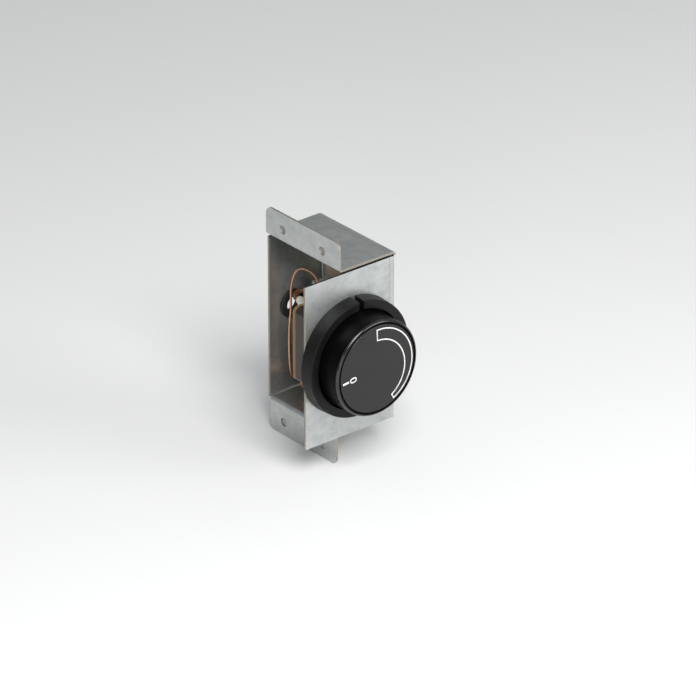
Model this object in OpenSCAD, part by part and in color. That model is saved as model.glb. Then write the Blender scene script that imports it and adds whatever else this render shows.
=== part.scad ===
// Wall thermostat for a panel heater: a turned knob in a fixed collar, on a folded
// sheet-metal box that screws to the back of the panel through its two ears.
//
// Frame: +X from the panel towards the wall, +Z up, and the knob faces -Y.
// The origin is the centre of the ears' four fixing holes, on the face that meets the panel.

/* [Housing] */
// Thickness of the galvanised sheet
sheet = 1.2; // [1:0.05:1.6]
// Width of the plate behind the knob, along X
plate_w = 56.4; // [54:0.2:60]
// Height of the plate's upper edge above the knob's axis
plate_top = 44.3; // [42:0.1:46]
// Depth of the plate's lower edge below the knob's axis
plate_drop = 43.3; // [42:0.1:46]
// Depth of the box, along Y
box_depth = 56; // [54:0.5:62]
// Distance from the panel's back to the knob's axis
axis_offset = 7.2; // [6.5:0.1:8]
// Slot between the top sheet and the plate's upper edge
corner_gap = 1.2; // [0.6:0.05:1.6]
// Height of the upper ear's end above the knob's axis
upper_ear_reach = 61; // [60:0.1:64]
// Depth of the lower ear's end below the knob's axis
lower_ear_reach = 59.6; // [58:0.1:64]
// Radius of the ears' corners
ear_corner = 4; // [3:0.5:5]

/* [Fixing holes] */
// Distance between the holes along Y
fixing_pitch_y = 30; // [24:1:36]
// Distance between the upper and the lower holes
fixing_pitch_z = 105; // [104:0.5:107]
// Radius of each hole
fixing_hole_r = 2.25; // [1.8:0.05:2.5]

/* [Knob] */
// Radius of the knob
knob_r = 25; // [24:0.5:25.2]
// Distance from the plate to the knob's face
knob_height = 20.2; // [19:0.1:24]
// Radius of the inserted face disc
face_r = 22.8; // [21.8:0.1:23]
// Line width of the printed scale
line_w = 0.65; // [0.5:0.05:1]

/* [Collar] */
// Inner radius of the collar
collar_inner_r = 25.9; // [25.8:0.1:26.5]
// Outer radius of the collar at its rim
collar_outer_r = 30.5; // [29:0.1:32]
// Height of the collar above the plate
collar_h = 7.3; // [6:0.1:9]
// Width of the index notch
notch_w = 3; // [2:0.1:4]
// Angle of the index notch, counted from +X
notch_angle = 88; // [80:1:100]

/* [Control] */
// Radius of the control shaft
shaft_r = 3; // [2.9:0.05:3.1]
// Running clearance around the shaft and its thread
running_gap = 0.05; // [0.02:0.01:0.08]
// Distance from the knob's axis to each of the two fixing screws
screw_offset = 14; // [13.5:0.5:14.5]
// Knob's turn from its highest setting, where it rests, back to the zero mark
turn_down = 262.5; // [250:0.5:265]
// Knob's turn from rest to the upper stop
turn_up = 3; // [1:0.5:5]

/* [Hidden] */
$fn = 96;

// Small amount by which solids of one node run into each other
lap = 0.2;

// Box
front_y = -box_depth / 2;
rear_y = box_depth / 2;
plate_x0 = axis_offset - plate_w / 2;
wall_x = axis_offset + plate_w / 2;
plate_h = plate_top + plate_drop;
box_top = plate_top + corner_gap + sheet;
box_bottom = -plate_drop;
bend_r = 2;
edge_gap = 0.4;
press_mark_inset = 4.5;
press_mark_w = 0.5;
press_mark_depth = 0.12;
inner_wall_x = wall_x - sheet;
rear_plate_x0 = 1;
bush_hole_r = 5.6;
screw_clear_r = 2.2;

// Depths inside the box, counted outwards from the plate's outer face
yoke_z = [-sheet - 1.5, -sheet];
base_z = [-24, yoke_z[0]];
board_z = [base_z[0] - 2, base_z[0]];
base_w = 30;
base_h = 40;
base_wall = 2.5;
base_floor = 2;
base_corner_r = 3;
collar_floor = 1.5;

// Shaft, stops and setting nut
thread_r = 2.5;
bush_z = [-5.2, 3];
bush_r = 5;
shaft_z = [-15.5, knob_height - 3.6];
stop_disc_z = [-6.9, -5.7];
stop_tab_r = 9.5;
stop_tab_w = 2.5;
stop_post_ring = 8.6;
stop_post_r = 1;
stop_tab_angle = 200;
// Angle taken up by half the tab and one post, with a little play
stop_margin = 16.1;
stop_post_angles = [
    stop_tab_angle - turn_up - stop_margin,
    stop_tab_angle + turn_down + stop_margin
];
flat_x = 1.6;
nut_w = 11;
nut_z = [-14, -9];

// Contacts
lever_z = [-20.3, -19.8];
lever_pivot_z = (lever_z[0] + lever_z[1]) / 2;
lever_pivot_y = 14;
contact_y = -13.5;
contact_foot_y = contact_y + 1.6;
contact_r = 1.2;
contact_top = -21.1;
lever_pin_r = 0.75;
blade_y = [contact_y, 14];
blade_w = 6.3;
blade_t = 0.8;
blade_end = board_z[0] - 8.5;
rivet_r = 1.2;
rivet_grip = 4;
rivet_pillar_r = 2.6;
rivet_x = 11;
rivet_y = 16;

// Terminal block, on the wall-side sheet
liner_t = 0.5;
block_size = [13, 18, 30];
block_x1 = inner_wall_x - liner_t;
block_y0 = 4;
pole_pitch = 10;
pole_x = block_x1 - 6.5;
tube_r = 2.2;
tube_bore_r = 1.6;
terminal_screw_y = [block_y0 + 4.5, block_y0 + 13.5];
block_screw_y = block_y0 + block_size[1] / 2;
block_screw_z = pole_pitch / 2;
block_screw_r = 1.5;
block_base_t = block_size[0] - 3;

// Earth screw, on the wall-side sheet
earth_y = -12;
earth_z = 32;
earth_screw_r = 2;

// Sensing bulb, above the bottom sheet
bulb_r = 3;
bulb_x = 15;
bulb_z = -36;
bulb_y = [-18, 19];
clip_t = 0.8;
bulb_clip_y = 0;
clip_foot_offset = 7.5;
clip_rivet_r = 1.5;

// Supply entry in the rear sheet
entry_x = 15;
entry_z = 4;
entry_hole_r = 5.5;
entry_bore_r = 4;

// Routes, as [x, y, z] points chosen by hand
capillary_r = 0.6;
capillary_route = [
    [axis_offset, -5.3, 9], [axis_offset, -5.3, 14], [axis_offset, -5.3, 19],
    [axis_offset, -5.2, 24], [8, -2, 29], [9, 4, 31], [9.5, 12, 30], [10, 18, 25],
    [10, 21, 16], [10, 21.5, 4], [9, 21.5, -8], [9, 21.5, -20], [10.5, 22.5, -30],
    [13, 23.3, -35], [bulb_x, 22.4, bulb_z], [bulb_x, 20.6, bulb_z], [bulb_x, bulb_y[1], bulb_z]
];
lead_r = 1.3;
line_route = [
    [axis_offset, 11.4, 14], [axis_offset, 13.5, 14], [8.5, 16, 14.5], [12, 16.5, 15.5],
    [16, 12, 15.5], [18.5, 5, 14], [21.5, 0.5, 12], [25, -0.8, 10.4], [pole_x, 1, pole_pitch],
    [pole_x, 4.2, pole_pitch]
];
load_route = [
    [axis_offset, 11.4, contact_y], [axis_offset, 13.5, contact_y], [8.5, 16, -14],
    [12, 16.5, -15], [16, 12, -15], [18.5, 5, -14], [21.5, 0.5, -12], [25, -0.8, -10.4],
    [pole_x, 1, -pole_pitch], [pole_x, 4.2, -pole_pitch]
];

// ---------------------------------------------------------------- helpers

// Puts children on the knob's axis: local z runs outwards from the plate, local x along +X
// and local y up.
module on_axis() {
    translate([axis_offset, front_y, 0])
        rotate([90, 0, 0])
            children();
}

// A straight run along local z between the two heights in span
module run(span) {
    translate([0, 0, span[0]])
        linear_extrude(span[1] - span[0])
            children();
}

module rounded_rect(w, h, r) {
    square([w - 2 * r, h], center = true);
    square([w, h - 2 * r], center = true);
    for (sx = [-1, 1], sy = [-1, 1])
        translate([sx * (w / 2 - r), sy * (h / 2 - r)])
            circle(r);
}

// Quarter of a folded sheet's corner, in the quadrant of the signs sx and sy
module bend(sx, sy) {
    difference() {
        intersection() {
            circle(bend_r);
            translate([sx > 0 ? 0 : -bend_r, sy > 0 ? 0 : -bend_r])
                square(bend_r);
        }
        circle(bend_r - sheet);
    }
}

// A rectangle from corner a to corner b
module span_rect(a, b) {
    translate(a)
        square(b - a);
}

function unit(v) = v / norm(v);
function across(v) = unit(abs(v[2]) < 0.9 * norm(v) ? cross(v, [0, 0, 1]) : cross(v, [1, 0, 0]));

// Catmull-Rom point between p1 and p2
function spline(p0, p1, p2, p3, t) =
    0.5 * (2 * p1 + (p2 - p0) * t + (2 * p0 - 5 * p1 + 4 * p2 - p3) * t * t
        + (3 * p1 - p0 - 3 * p2 + p3) * t * t * t);
function smooth(route, steps) = let (last = len(route) - 1) [
    for (i = [0 : last - 1], s = [0 : steps - 1])
        spline(route[max(i - 1, 0)], route[i], route[i + 1], route[min(i + 2, last)], s / steps),
    route[last]
];
function tangents(path) = let (last = len(path) - 1)
    [for (i = [0 : last]) unit(path[min(i + 1, last)] - path[max(i - 1, 0)])];
function square_to(n, t) = unit(n - t * (n * t));
function normals(t) = let (last = len(t) - 1) [
    for (i = 0, n = across(t[0]); i <= last; i = i + 1, n = square_to(n, t[min(i, last)]))
        square_to(n, t[i])
];

// A closed tube of radius r along a path of points
module tube_along(path, r, sides = 8) {
    t = tangents(path);
    n = normals(t);
    rings = len(path);
    points = [
        for (i = [0 : rings - 1], k = [0 : sides - 1])
            path[i] + r * (cos(360 * k / sides) * n[i] + sin(360 * k / sides) * cross(t[i], n[i]))
    ];
    walls = [
        for (i = [0 : rings - 2], k = [0 : sides - 1])
            let (a = i * sides, b = a + sides, next = (k + 1) % sides)
                [a + k, b + k, b + next, a + next]
    ];
    first_cap = [for (k = [0 : sides - 1]) k];
    last_cap = [for (k = [sides - 1 : -1 : 0]) (rings - 1) * sides + k];
    polyhedron(points, concat(walls, [first_cap, last_cap]), convexity = 8);
}

// Pan head screw along local z, its head's underside at z = 0 and its shank below
module pan_screw(r, head_r, head_h, length) {
    difference() {
        union() {
            cylinder(r = head_r, h = head_h * 0.55);
            translate([0, 0, head_h * 0.55 - 0.01])
                cylinder(r1 = head_r, r2 = head_r * 0.72, h = head_h * 0.45);
        }
        for (a = [0, 90])
            rotate(a)
                translate([-head_r * 0.55, -0.4, head_h * 0.45])
                    cube([head_r * 1.1, 0.8, head_h]);
    }
    translate([0, 0, -length])
        cylinder(r = r, h = length + lap);
}

// Slotted cheese head screw along local z
module slotted_screw(r, head_r, head_h, length) {
    difference() {
        cylinder(r = head_r, h = head_h);
        translate([-head_r - 1, -0.4, head_h * 0.5])
            cube([2 * head_r + 2, 0.8, head_h]);
    }
    translate([0, 0, -length])
        cylinder(r = r, h = length + lap);
}

// ---------------------------------------------------------------- housing

// Outline seen from above: the plate behind the knob and the rear sheet, with their bends
module channel_outline() {
    corner_x = wall_x - bend_r;
    span_rect([plate_x0, front_y], [corner_x, front_y + sheet]);
    translate([corner_x, front_y + bend_r])
        bend(1, -1);
    span_rect([rear_plate_x0, rear_y - sheet], [corner_x, rear_y]);
    translate([corner_x, rear_y - bend_r])
        bend(1, 1);
}

// Outline seen from the front: a top sheet with its ear; sz is 1 for the top, -1 for the bottom
module shelf_outline(level, sz) {
    inner = level - sz * sheet;
    translate([bend_r, min(level, inner)])
        square([wall_x - 2 * bend_r, sheet]);
    translate([wall_x - bend_r, level - sz * bend_r])
        bend(1, sz);
    translate([bend_r, inner + sz * bend_r])
        bend(-1, -sz);
}

// Extrudes an X-Z outline along Y between the two places in span
module along_y(span) {
    translate([0, span[1], 0])
        rotate([90, 0, 0])
            linear_extrude(span[1] - span[0])
                children();
}

// One ear with rounded end corners, from its bend at the sheet of that level; sz is 1 for the
// top and -1 for the bottom. It is drawn upright, with local x along Y and local y outwards.
module ear(level, sz, span, reach) {
    start = abs(level) - sheet + bend_r;
    rotate([90, 0, 90])
        linear_extrude(sheet)
            mirror([0, sz > 0 ? 0 : 1]) {
                span_rect([span[0], start], [span[1], reach - ear_corner]);
                span_rect([span[0] + ear_corner, start], [span[1] - ear_corner, reach]);
                for (y = [span[0] + ear_corner, span[1] - ear_corner])
                    translate([y, reach - ear_corner])
                        circle(ear_corner);
            }
}

// Shallow lines that the folding tool leaves beside the bends
module press_marks() {
    mark_x = wall_x - press_mark_inset;
    translate([mark_x, front_y - 1, box_bottom - 1])
        cube([press_mark_w, 1 + press_mark_depth, plate_h + 2]);
    translate([mark_x, front_y - 1, box_top - press_mark_depth])
        cube([press_mark_w, box_depth + 2, 1]);
    translate([mark_x, front_y - 1, box_bottom - 1])
        cube([press_mark_w, box_depth + 2, 1 + press_mark_depth]);
    translate([mark_x, rear_y - press_mark_depth, box_bottom - 1])
        cube([press_mark_w, 1, plate_h + 2]);
}

module housing() {
    lower_span = [front_y + bend_r + edge_gap, rear_y - bend_r - edge_gap];
    color("lightsteelblue")
        difference() {
            union() {
                translate([0, 0, box_bottom])
                    linear_extrude(plate_h)
                        channel_outline();
                translate([inner_wall_x, front_y + bend_r, box_bottom + bend_r])
                    cube([sheet, box_depth - 2 * bend_r, box_top - box_bottom - 2 * bend_r]);
                along_y([front_y, rear_y])
                    shelf_outline(box_top, 1);
                along_y(lower_span)
                    shelf_outline(box_bottom, -1);
                ear(box_top, 1, [front_y, rear_y], upper_ear_reach);
                ear(box_bottom, -1, lower_span, lower_ear_reach);
            }
            on_axis() {
                run([-sheet - 1, 1])
                    circle(bush_hole_r);
                for (s = [-1, 1])
                    translate([0, s * screw_offset])
                        run([-sheet - 1, 1])
                            circle(screw_clear_r);
            }
            for (sy = [-1, 1], sz = [-1, 1])
                translate([-1, sy * fixing_pitch_y / 2, sz * fixing_pitch_z / 2])
                    rotate([0, 90, 0])
                        cylinder(r = fixing_hole_r, h = sheet + 2);
            for (s = [-1, 1])
                translate([inner_wall_x - 1, block_screw_y, s * block_screw_z])
                    rotate([0, 90, 0])
                        cylinder(r = block_screw_r, h = sheet + 2);
            translate([inner_wall_x - 1, earth_y, earth_z])
                rotate([0, 90, 0])
                    cylinder(r = earth_screw_r, h = sheet + 2);
            translate([entry_x, rear_y + 1, entry_z])
                rotate([90, 0, 0])
                    cylinder(r = entry_hole_r, h = sheet + 2);
            translate([bulb_x - clip_foot_offset, bulb_clip_y, box_bottom - 1])
                cylinder(r = clip_rivet_r, h = sheet + 2);
            press_marks();
        }
}

// ---------------------------------------------------------------- collar and knob

// Fixed collar: a floor held under the two fixing screws, and a wall with the index notch
module knob_collar() {
    rim_r = 0.6;
    base_r = collar_outer_r + 0.5;
    color([0.07, 0.07, 0.07])
        on_axis()
            difference() {
                union() {
                    cylinder(r = collar_inner_r + lap, h = collar_floor);
                    difference() {
                        union() {
                            cylinder(r1 = base_r, r2 = collar_outer_r, h = collar_h - rim_r);
                            translate([0, 0, collar_h - rim_r])
                                cylinder(r1 = collar_outer_r, r2 = collar_outer_r - rim_r, h = rim_r);
                        }
                        translate([0, 0, -1])
                            cylinder(r = collar_inner_r, h = collar_h + 2);
                        translate([0, 0, collar_h - rim_r])
                            cylinder(r1 = collar_inner_r, r2 = collar_inner_r + rim_r, h = rim_r + 0.01);
                        rotate(notch_angle)
                            translate([collar_inner_r - 1, -notch_w / 2, -1])
                                cube([8, notch_w, collar_h + 2]);
                    }
                }
                translate([0, 0, -1])
                    cylinder(r = bush_hole_r, h = 4);
                for (s = [-1, 1])
                    translate([0, s * screw_offset, -1])
                        cylinder(r = screw_clear_r, h = 4);
            }
}

// Knob, hollow behind, with a hub on six ribs and a recess for its face disc
module knob_body() {
    fillet = 1.2;
    recess_r = face_r + 0.6;
    recess_depth = 1.2;
    skin = 1.8;
    roof = knob_height - recess_depth - 2.8;
    rear = 2.3;
    hub_r = 6;
    hub_rear = 5;
    color([0.06, 0.06, 0.06])
        on_axis()
            difference() {
                union() {
                    rotate_extrude()
                        difference() {
                            union() {
                                span_rect([0, rear], [knob_r, knob_height - fillet]);
                                span_rect([0, rear], [knob_r - fillet, knob_height]);
                                translate([knob_r - fillet, knob_height - fillet])
                                    circle(fillet);
                            }
                            span_rect([0, rear - 1], [knob_r - skin, roof]);
                            span_rect([0, knob_height - recess_depth], [recess_r, knob_height + 1]);
                            translate([-2 * knob_r, -1])
                                square([2 * knob_r, knob_height + 2]);
                        }
                    run([hub_rear, roof + lap])
                        circle(hub_r);
                    for (i = [0 : 5])
                        rotate(i * 60 + 30)
                            translate([hub_r - 1, -0.7, hub_rear + 3])
                                cube([knob_r - skin - hub_r + 1 + lap, 1.4, roof + lap - hub_rear - 3]);
                }
                run([hub_rear - 1, shaft_z[1] + 0.2])
                    intersection() {
                        circle(shaft_r + running_gap);
                        span_rect([-shaft_r - 1, -shaft_r - 1], [flat_x + 0.5, shaft_r + 1]);
                    }
            }
}

// Flat disc set into the knob's face
module knob_face() {
    color([0.24, 0.235, 0.225])
        on_axis()
            run([knob_height - 1.2, knob_height])
                circle(face_r);
}

// Side of a line through the centre: the points anticlockwise of the angle, moved in by inset
module half_plane(angle, inset) {
    rotate(angle)
        translate([-100, inset])
            square([200, 100]);
}

// Temperature mark: wide at its upper end and narrow at its lower one
module crescent(inset) {
    wide_end = 91.7;
    narrow_end = -63;
    outer_r = 21.35;
    outer_centre = [0.6, -0.35];
    inner_r = 16.95;
    inner_centre = [-0.2, -2.2];
    intersection() {
        difference() {
            translate(outer_centre)
                circle(outer_r - inset);
            translate(inner_centre)
                circle(inner_r + inset);
        }
        half_plane(narrow_end, inset);
        rotate(wide_end)
            mirror([0, 1])
                rotate(-wide_end)
                    half_plane(wide_end, inset);
    }
}

module stadium(length, w) {
    square([length - w, w], center = true);
    for (s = [-1, 1])
        translate([s * (length - w) / 2, 0])
            circle(w / 2);
}

// Raised print on the face: the crescent's outline, the zero and its tick
module scale_print() {
    print_h = 0.1;
    zero_angle = 185.5;
    tick_r = [17.8, 21.6];
    tick_w = 1.1;
    zero_r = 15.1;
    zero_size = [4.1, 2.8];
    color("white")
        on_axis()
            run([knob_height, knob_height + print_h]) {
                difference() {
                    crescent(0);
                    crescent(line_w);
                }
                rotate(zero_angle) {
                    span_rect([tick_r[0], -tick_w / 2], [tick_r[1], tick_w / 2]);
                    translate([zero_r, 0])
                        difference() {
                            stadium(zero_size[0], zero_size[1]);
                            stadium(zero_size[0] - 2 * line_w, zero_size[1] - 2 * line_w);
                        }
                }
            }
}

// Leaf that presses the hub onto the shaft's flat
module grip_spring() {
    color("silver")
        on_axis()
            translate([flat_x + 0.03, -1.8, 6])
                cube([0.42, 3.6, 9]);
}

// ---------------------------------------------------------------- shaft and its stops

module control_shaft() {
    color("silver")
        on_axis() {
            run([stop_disc_z[0], 4.5])
                circle(shaft_r);
            run([4.4, shaft_z[1]])
                intersection() {
                    circle(shaft_r);
                    span_rect([-shaft_r - 1, -shaft_r - 1], [flat_x, shaft_r + 1]);
                }
            run([shaft_z[0], stop_disc_z[0] + lap])
                circle(thread_r);
        }
}

// Disc on the shaft whose tab meets the stop posts
module stop_disc() {
    color("gray")
        on_axis()
            run(stop_disc_z)
                difference() {
                    union() {
                        circle(6.5);
                        rotate(stop_tab_angle)
                            span_rect([0, -stop_tab_w / 2], [stop_tab_r, stop_tab_w / 2]);
                    }
                    circle(shaft_r);
                }
}

// Retaining ring in front of the bush
module shaft_clip() {
    color("dimgray")
        on_axis()
            run([bush_z[1] + 0.3, bush_z[1] + 0.9])
                difference() {
                    circle(5);
                    circle(shaft_r);
                    rotate(45)
                        span_rect([0, -1.2], [6, 1.2]);
                }
}

// Square nut that the shaft's thread drives along the axis
module setting_nut() {
    color("goldenrod")
        on_axis()
            run(nut_z)
                difference() {
                    square(nut_w, center = true);
                    circle(thread_r + running_gap);
                }
}

// Range spring between the setting nut and the contact lever
module range_spring() {
    turns = 4;
    mean_r = 3.9;
    wire_r = 0.4;
    length = 5;
    steps = 14;
    start = nut_z[0] - wire_r + 0.05;
    helix = [
        for (i = [0 : turns * steps])
            [mean_r * cos(360 * i / steps), mean_r * sin(360 * i / steps),
                start - (length - 2 * wire_r) * i / (turns * steps)]
    ];
    color("silver")
        on_axis()
            tube_along(helix, wire_r, 6);
}

// ---------------------------------------------------------------- thermostat body

// Steel plate that the fixing screws pull against the housing
module thermostat_yoke() {
    color("silver")
        on_axis()
            run(yoke_z)
                difference() {
                    rounded_rect(20, 38, 2);
                    circle(bush_r);
                    for (s = [-1, 1])
                        translate([0, s * screw_offset])
                            circle(2);
                }
}

// Bearing of the shaft, staked into the yoke
module shaft_bush() {
    color("goldenrod")
        on_axis()
            run(bush_z)
                difference() {
                    circle(bush_r);
                    circle(shaft_r + running_gap);
                }
}

module fixing_screws() {
    color("silver")
        on_axis()
            for (s = [-1, 1])
                translate([0, s * screw_offset, collar_floor])
                    pan_screw(1.95, 3.8, 2.4, 5.8);
}

// Moulded case: open towards the board, with the stop posts, nut guides and lever bearings
module thermostat_base() {
    inside_w = base_w - 2 * base_wall;
    inside_h = base_h - 2 * base_wall;
    guide_gap = 0.35;
    color([0.2, 0.13, 0.09])
        on_axis()
            difference() {
                union() {
                    difference() {
                        run(base_z)
                            rounded_rect(base_w, base_h, base_corner_r);
                        run([base_z[0] - 1, base_z[1] - base_floor])
                            rounded_rect(inside_w, inside_h, 1);
                    }
                    for (a = stop_post_angles)
                        rotate(a)
                            translate([stop_post_ring, 0])
                                run([-7.3, base_z[1] - 1])
                                    circle(stop_post_r);
                    at_rivets()
                        run([base_z[0], base_z[0] + rivet_grip + 2])
                            circle(rivet_pillar_r);
                    for (s = [-1, 1]) {
                        translate([s * (nut_w / 4 + inside_w / 4 + guide_gap / 2 + lap / 2), 0])
                            run([-16, -7.8])
                                square([(inside_w - nut_w) / 2 - guide_gap + lap, 6], center = true);
                        translate([s * 4.9, (inside_h / 2 + lap + lever_pivot_y - 1.8) / 2])
                            run([-21.8, -18.2])
                                square([2, inside_h / 2 + lap - lever_pivot_y + 1.8], center = true);
                    }
                }
                run([base_z[1] - base_floor - 1, base_z[1] + 1])
                    circle(bush_r + 0.1);
                at_rivets()
                    run([base_z[0] - 1, base_z[0] + rivet_grip])
                        circle(rivet_r);
                for (s = [-1, 1])
                    translate([0, s * screw_offset])
                        run([base_z[1] - base_floor - 1, base_z[1] + 1])
                            circle(2.4);
                translate([0, base_h / 2])
                    run([base_z[0] - 1, -21.5])
                        square([2.4, 2 * base_wall + 2], center = true);
                translate([-10, lever_pivot_y, lever_pivot_z])
                    rotate([0, 90, 0])
                        cylinder(r = lever_pin_r, h = 20);
            }
}

// Board that closes the case and carries the terminals
module terminal_board() {
    color([0.45, 0.3, 0.15])
        on_axis()
            run(board_z)
                difference() {
                    rounded_rect(base_w, base_h, base_corner_r);
                    at_rivets()
                        circle(rivet_r);
                    for (i = [0, 1])
                        translate([0, blade_y[i]])
                            square([3, blade_t], center = true);
                }
}

module board_rivets() {
    head_h = 0.8;
    color("goldenrod")
        on_axis()
            at_rivets() {
                run([board_z[0], board_z[1] + rivet_grip])
                    circle(rivet_r);
                translate([0, 0, board_z[0] - head_h])
                    cylinder(r1 = rivet_r + 0.4, r2 = rivet_r + 1, h = head_h);
            }
}

// Places children at the board's two rivets, in opposite corners
module at_rivets() {
    for (s = [-1, 1])
        translate([s * rivet_x, s * rivet_y])
            children();
}

// Two push-on tabs, standing out of the board's back
module terminal_blades() {
    color("gold")
        on_axis()
            for (i = [0, 1])
                translate([0, blade_y[i]])
                    difference() {
                        union() {
                            run([blade_end, board_z[0]])
                                square([blade_w, blade_t], center = true);
                            run([board_z[0] - lap, board_z[1] + 0.6])
                                square([3, blade_t], center = true);
                        }
                        translate([0, 5, blade_end + 4.4])
                            rotate([90, 0, 0])
                                cylinder(r = 0.85, h = 10);
                        for (s = [-1, 1])
                            translate([s * (blade_w / 2 + 0.55), 0, blade_end - 0.2])
                                rotate([0, s * 30, 0])
                                    cube([1.4, 3, 4], center = true);
                    }
}

// Contact foot on the lower terminal
module fixed_contact() {
    color("silver")
        on_axis() {
            translate([0, contact_foot_y])
                run([board_z[1], board_z[1] + 0.6])
                    square([4, 2.4], center = true);
            translate([0, contact_foot_y])
                run([board_z[1] + 0.5, contact_top - 0.05])
                    circle(contact_r);
        }
}

// Diaphragm capsule with the pad that lifts the lever as its filling expands
module diaphragm_capsule() {
    color("silver")
        on_axis() {
            cap_z = board_z[1];
            translate([0, 0, cap_z])
                cylinder(r1 = 8.4, r2 = 9, h = 0.9);
            translate([0, 0, cap_z + 0.89])
                cylinder(r1 = 9, r2 = 7, h = 0.9);
            run([cap_z + 1.7, lever_z[0] - 0.35])
                circle(1.5);
        }
}

module capillary_tube() {
    color("peru")
        tube_along(smooth(capillary_route, 4), capillary_r);
}

// Closed sensing bulb with coned ends
module sensing_bulb() {
    neck = 2;
    color("peru")
        translate([bulb_x, bulb_y[1], bulb_z])
            rotate([90, 0, 0]) {
                cylinder(r1 = 1.2, r2 = bulb_r, h = neck);
                translate([0, 0, neck - 0.01])
                    cylinder(r = bulb_r, h = bulb_y[1] - bulb_y[0] - 2 * neck + 0.02);
                translate([0, 0, bulb_y[1] - bulb_y[0] - neck])
                    cylinder(r1 = bulb_r, r2 = 1.2, h = neck);
            }
}

// Clip that holds the bulb off the bottom sheet
module bulb_clip() {
    clip_w = 8;
    floor_z = box_bottom + sheet;
    ring_r = bulb_r + 0.02 + clip_t;
    strap_x = [bulb_x - ring_r, bulb_x - ring_r + clip_t];
    foot_x = bulb_x - clip_foot_offset - 3.5;
    color("silver")
        difference() {
            along_y([bulb_clip_y - clip_w / 2, bulb_clip_y + clip_w / 2])
                difference() {
                    union() {
                        translate([bulb_x, bulb_z])
                            circle(ring_r);
                        span_rect([strap_x[0], floor_z + clip_t / 2], [strap_x[1], bulb_z]);
                        span_rect([foot_x, floor_z], [strap_x[1], floor_z + clip_t]);
                    }
                    translate([bulb_x, bulb_z])
                        circle(bulb_r + 0.02);
                    translate([bulb_x, bulb_z])
                        rotate(45)
                            span_rect([-1.2, 0], [1.2, 6]);
                }
            translate([bulb_x - clip_foot_offset, bulb_clip_y, floor_z - 1])
                cylinder(r = clip_rivet_r, h = 4);
        }
}

module clip_rivet() {
    color("silver")
        translate([bulb_x - clip_foot_offset, bulb_clip_y, box_bottom]) {
            translate([0, 0, -0.7])
                cylinder(r1 = 2, r2 = 2.6, h = 0.7);
            cylinder(r = clip_rivet_r, h = sheet + clip_t);
            translate([0, 0, sheet + clip_t])
                cylinder(r1 = 2.5, r2 = 1.8, h = 0.9);
        }
}

module lever_pin() {
    color("silver")
        on_axis()
            translate([-5.9, lever_pivot_y, lever_pivot_z])
                rotate([0, 90, 0])
                    cylinder(r = lever_pin_r, h = 11.8);
}

// Contact arm, with an eye around its pin
module contact_lever() {
    color("gold")
        on_axis()
            difference() {
                union() {
                    translate([0, (contact_y - 2 + lever_pivot_y) / 2])
                        run(lever_z)
                            square([6, lever_pivot_y - contact_y + 2], center = true);
                    translate([-3, lever_pivot_y, lever_pivot_z])
                        rotate([0, 90, 0])
                            cylinder(r = 1.3, h = 6);
                }
                translate([-4, lever_pivot_y, lever_pivot_z])
                    rotate([0, 90, 0])
                        cylinder(r = lever_pin_r + running_gap, h = 8);
            }
}

module moving_contact() {
    color("silver")
        on_axis()
            translate([0, contact_foot_y])
                run([contact_top, lever_z[0]])
                    circle(contact_r);
}

// ---------------------------------------------------------------- wiring

// Insulated push-on receptacles over the two tabs
module lead_receptacles() {
    color("ivory")
        on_axis()
            for (i = [0, 1])
                translate([0, blade_y[i]])
                    difference() {
                        union() {
                            run([blade_end - 1, board_z[0] - 1])
                                rounded_rect(8.4, 4.4, 1.4);
                            translate([0, 0, blade_end - 5])
                                cylinder(r1 = 2, r2 = 2.2, h = 4.2);
                        }
                        run([blade_end - 0.3, board_z[0]])
                            square([blade_w + 0.2, blade_t + 0.2], center = true);
                        run([blade_end - 6, blade_end - 4.5])
                            circle(lead_r + 0.05);
                    }
}

module line_lead() {
    color("saddlebrown")
        tube_along(smooth(line_route, 4), lead_r);
}

module load_lead() {
    color("dimgray")
        tube_along(smooth(load_route, 4), lead_r);
}

module terminal_block() {
    pocket_r = 2.6;
    rib = 1.2;
    color("whitesmoke")
        difference() {
            union() {
                translate([block_x1 - block_base_t, block_y0, -block_size[2] / 2])
                    cube([block_base_t, block_size[1], block_size[2]]);
                for (p = [-1 : 1], y = terminal_screw_y)
                    translate([block_x1 - block_size[0], y, p * pole_pitch])
                        rotate([0, 90, 0])
                            cylinder(r = pocket_r + rib, h = block_size[0] - 1);
            }
            for (p = [-1 : 1]) {
                translate([pole_x, block_y0 + block_size[1] + 1, p * pole_pitch])
                    rotate([90, 0, 0])
                        cylinder(r = tube_r, h = block_size[1] + 2);
                for (y = terminal_screw_y)
                    translate([block_x1 - block_size[0] - 1, y, p * pole_pitch])
                        rotate([0, 90, 0])
                            cylinder(r = pocket_r, h = pole_x - block_x1 + block_size[0] + 1);
            }
            for (s = [-1, 1])
                translate([block_x1 - block_size[0], block_screw_y, s * block_screw_z])
                    rotate([0, 90, 0])
                        cylinder(r = block_screw_r, h = block_size[0] + 1);
        }
}

// Brass tubes in which the wires are clamped
module terminal_tubes() {
    color("goldenrod")
        for (p = [-1 : 1])
            difference() {
                translate([pole_x, block_y0 + block_size[1] - 1, p * pole_pitch])
                    rotate([90, 0, 0])
                        cylinder(r = tube_r, h = block_size[1] - 2);
                translate([pole_x, block_y0 + block_size[1] + 1, p * pole_pitch])
                    rotate([90, 0, 0])
                        cylinder(r = tube_bore_r, h = block_size[1] + 2);
                for (y = terminal_screw_y)
                    translate([pole_x - 5, y, p * pole_pitch])
                        rotate([0, 90, 0])
                            cylinder(r = 1.25, h = 5);
            }
}

module terminal_screws() {
    color("silver")
        for (p = [-1 : 1], y = terminal_screw_y)
            translate([block_x1 - block_size[0] + 3.4, y, p * pole_pitch])
                rotate([0, -90, 0])
                    slotted_screw(1.2, 2.1, 1.8, 3.2);
}

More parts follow.
